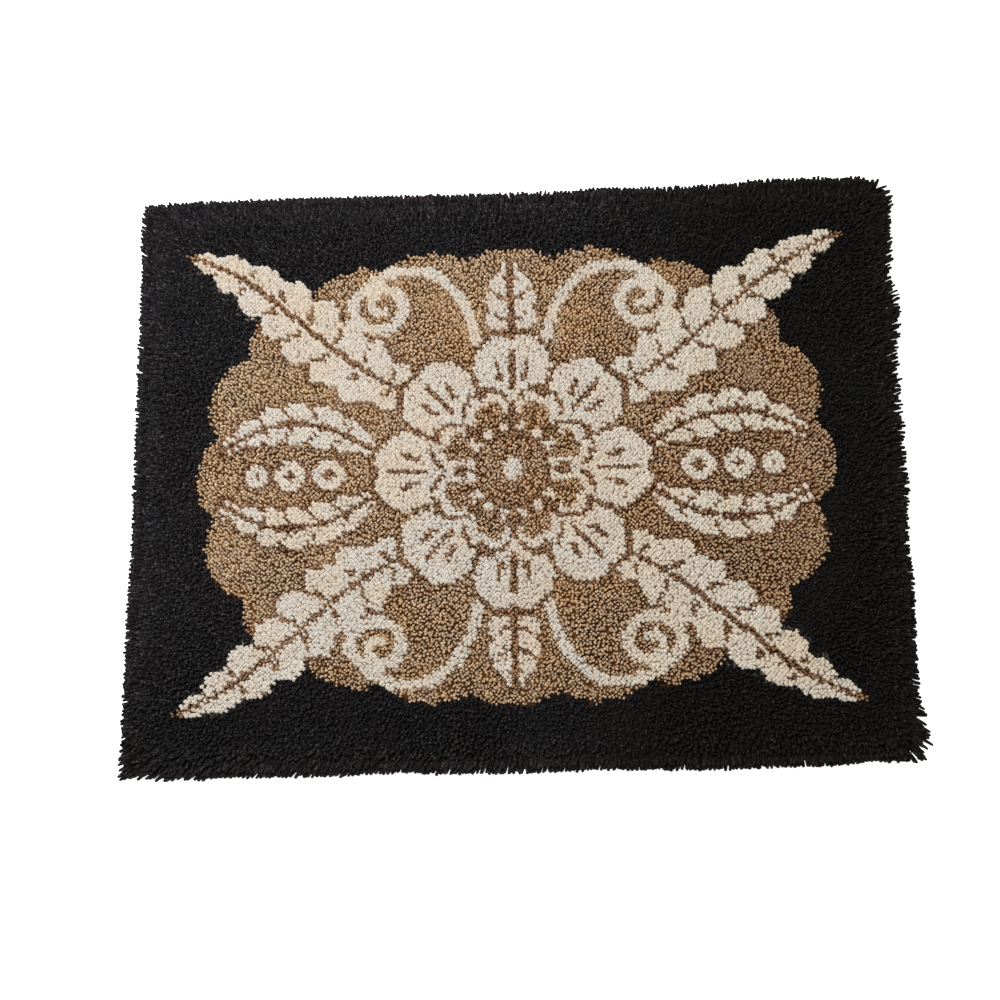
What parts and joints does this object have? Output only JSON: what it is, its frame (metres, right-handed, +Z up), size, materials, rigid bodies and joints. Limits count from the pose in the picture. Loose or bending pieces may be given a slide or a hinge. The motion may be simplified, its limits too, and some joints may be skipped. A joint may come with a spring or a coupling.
{
  "type": "hooked rug",
  "caption": "Rectangular latch-hooked wool rug that lies flat on a floor, with a thick cut pile and loose locks fanning out at its rim.",
  "frame": {"origin": "on the floor plane, below the middle of the rug's bounding box", "axes": "+X along the rug's length, +Y across it, +Z up out of the pile"},
  "size_m": [1.2592, 0.961, 0.0283],
  "materials": {
    "cotton_canvas": "stiff open cotton rug canvas, matt",
    "wool_dark": "cut wool rug yarn, near black, matt with a soft sheen",
    "wool_tan": "cut wool rug yarn, tan, matt with a soft sheen",
    "wool_cream": "cut wool rug yarn, cream, matt with a soft sheen",
    "wool_brown": "cut wool rug yarn, warm brown, matt with a soft sheen"
  },
  "bodies": {
    "root": {"canvas_ground": "cotton_canvas", "pile": "wool_dark"}
  },
  "joints": []
}
